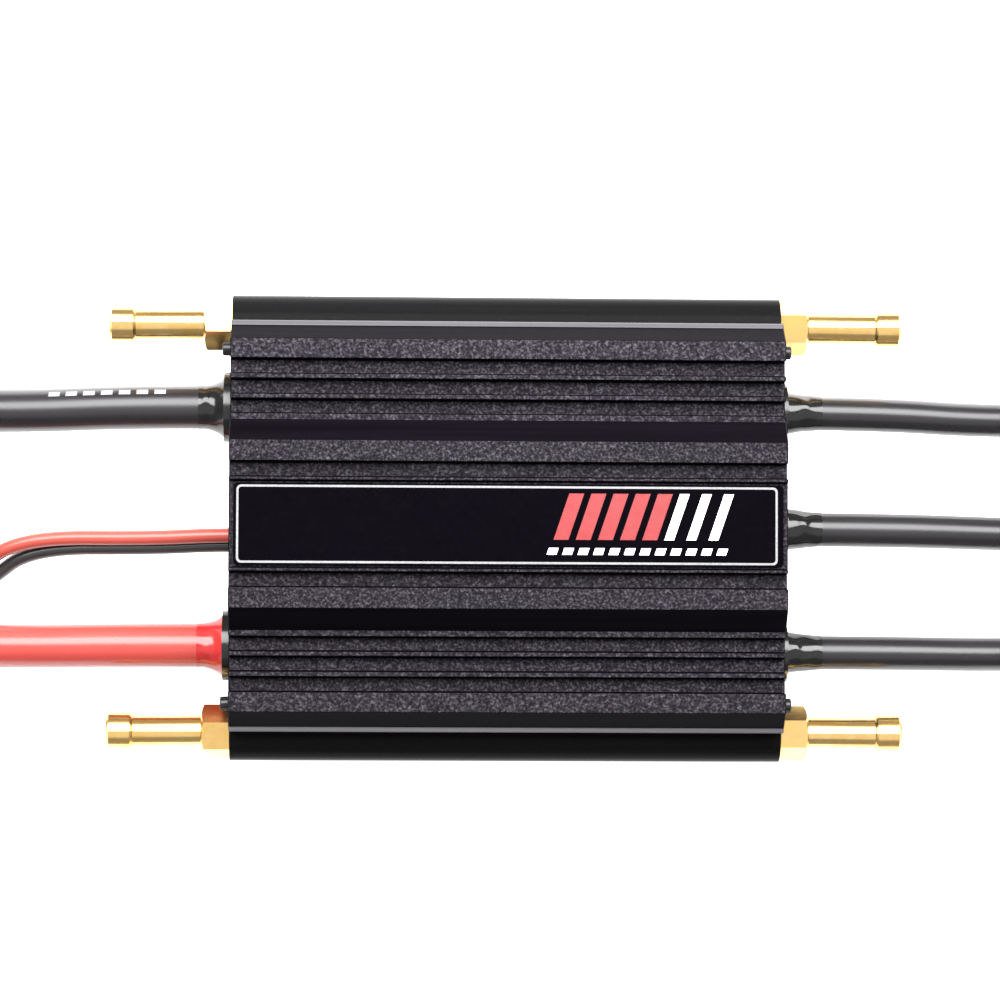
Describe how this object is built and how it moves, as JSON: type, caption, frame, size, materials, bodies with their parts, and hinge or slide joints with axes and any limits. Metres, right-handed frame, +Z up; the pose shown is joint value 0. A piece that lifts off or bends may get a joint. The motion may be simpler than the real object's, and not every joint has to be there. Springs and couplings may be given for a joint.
{
  "type": "electronic speed controller",
  "caption": "Water-cooled brushless motor speed controller: black finned case, two bored cooling rails with brass hose nozzles, battery, motor and receiver wires.",
  "frame": {"origin": "centre of the flat underside of the case", "axes": "+X towards the motor wires, +Y across the case, +Z up through the fins"},
  "size_m": [0.214, 0.0492, 0.018],
  "materials": {
    "case_black": "black anodised, sand-blasted",
    "rail_black": "black anodised, smooth gloss",
    "plate_black": "black anodised, satin",
    "screw_black": "black oxide",
    "brass": "turned and polished",
    "seal_rubber": "matte",
    "label_film": "gloss film",
    "sealant": "glossy set sealant",
    "silicone_black": "satin silicone",
    "silicone_red": "satin silicone",
    "lead_red": "satin",
    "lead_black": "satin",
    "plug_black": "moulded",
    "tie_black": "hook and loop strap",
    "tinned_copper": "tinned strands",
    "gold_plate": "gold plated",
    "heat_shrink": "shrunk tubing",
    "circuit_board": "green solder mask",
    "chip_black": "moulded epoxy",
    "capacitor_sleeve": "shrunk sleeve",
    "thermal_rubber": "soft pad",
    "copper": "bare copper",
    "board_plastic": "moulded",
    "steel": "zinc plated"
  },
  "bodies": {
    "root": {"battery_conductors": "tinned_copper", "battery_end_plate": "plate_black", "battery_end_screws": "screw_black", "battery_grommets": "seal_rubber", "battery_negative_seal": "sealant", "battery_negative_tip": "tinned_copper", "battery_negative_wire": "silicone_black", "battery_positive_seal": "sealant", "battery_positive_tip": "tinned_copper", "battery_positive_wire": "silicone_red", "bec_inductor": "chip_black", "bec_regulator": "chip_black", "board_header": "board_plastic", "board_screws": "steel", "bus_capacitors": "capacitor_sleeve", "control_board": "circuit_board", "control_board_spacers": "board_plastic", "gate_drivers": "chip_black", "label_plate": "label_film", "lead_coil": "lead_red", "lead_conductors": "tinned_copper", "lead_grommet": "seal_rubber", "lead_negative_wire": "lead_black", "lead_plug": "plug_black", "lead_positive_wire": "lead_red", "lead_terminal": "board_plastic", "lead_tie": "tie_black", "lower_case": "rail_black", "mosfets": "chip_black", "motor_a_connector": "gold_plate", "motor_a_seal": "sealant", "motor_a_sleeve": "heat_shrink", "motor_a_wire": "silicone_black", "motor_b_connector": "gold_plate", "motor_b_seal": "sealant", "motor_b_sleeve": "heat_shrink", "motor_b_wire": "silicone_black", "motor_c_connector": "gold_plate", "motor_c_seal": "sealant", "motor_c_sleeve": "heat_shrink", "motor_c_wire": "silicone_black", "motor_conductors": "tinned_copper", "motor_end_plate": "plate_black", "motor_end_screws": "screw_black", "motor_grommets": "seal_rubber", "negative_busbar": "copper", "nozzle_battery_left": "brass", "nozzle_battery_right": "brass", "nozzle_motor_left": "brass", "nozzle_motor_right": "brass", "nozzle_seals": "seal_rubber", "positive_busbar": "copper", "power_board": "circuit_board", "processor": "chip_black", "thermal_pad": "thermal_rubber", "upper_case": "case_black"}
  },
  "joints": []
}
